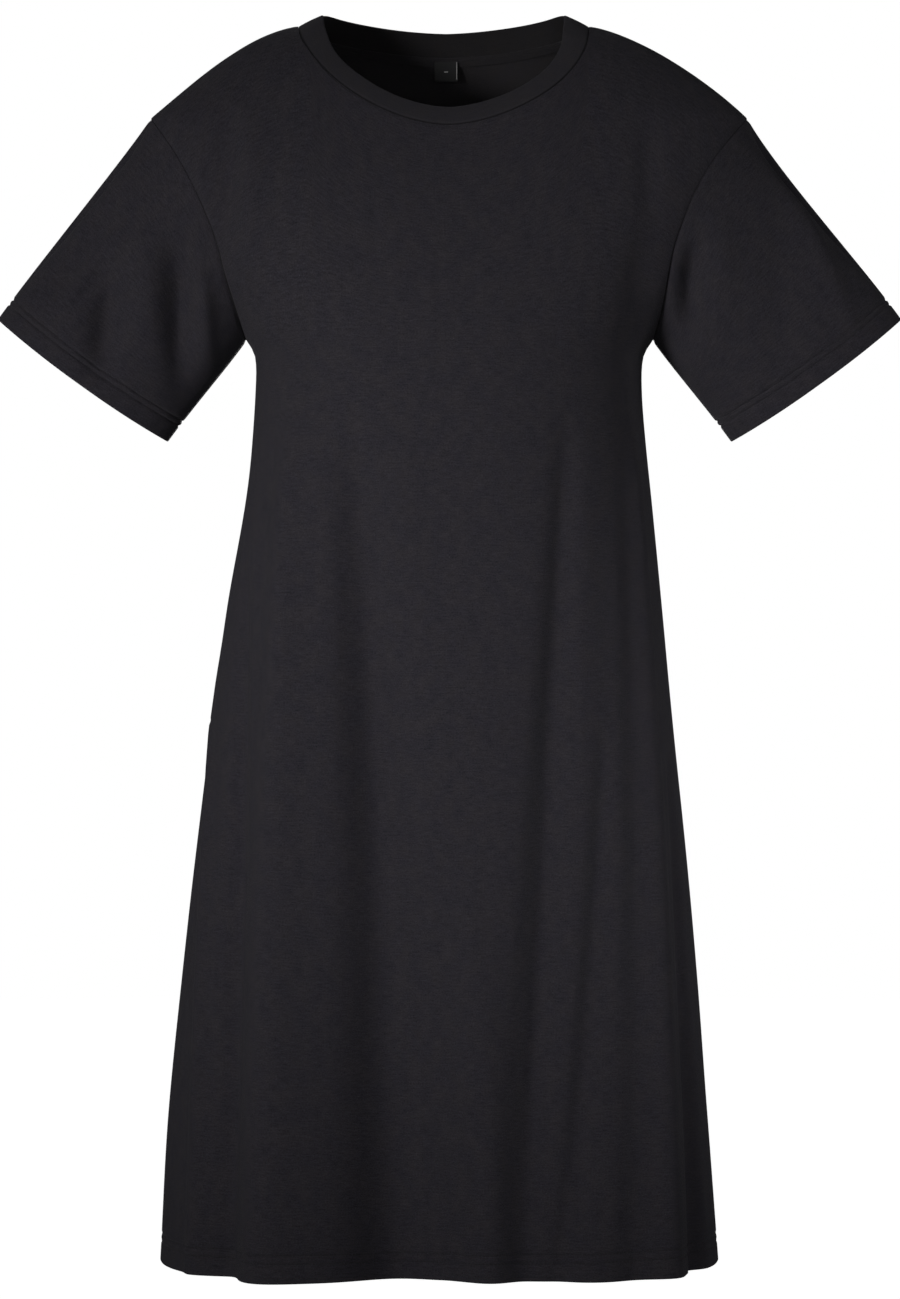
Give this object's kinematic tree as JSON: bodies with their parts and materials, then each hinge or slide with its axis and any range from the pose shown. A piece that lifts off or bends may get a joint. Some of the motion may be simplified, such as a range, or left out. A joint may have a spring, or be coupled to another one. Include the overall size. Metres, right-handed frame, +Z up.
{
  "type": "t-shirt dress",
  "caption": "Open, hollow A-line T-shirt dress in its worn shape: round ribbed neck, short sleeves, knee-length hem.",
  "frame": {"origin": "midway between the two neck points, where the shoulder seams meet the neckband: the mount shoulders", "axes": "+Z up from hem to shoulders; -Y is the front; +X is the wearer's left, the viewer's right"},
  "size_m": [0.6172, 0.2831, 0.8524],
  "materials": {
    "jersey": "matt black cotton jersey",
    "rib": "matt black cotton rib",
    "label_tape": "satin black woven tape"
  },
  "bodies": {
    "root": {"front": "jersey", "back": "jersey", "sleeve_right": "jersey", "sleeve_left": "jersey", "neckband": "rib", "label": "label_tape"}
  },
  "joints": []
}
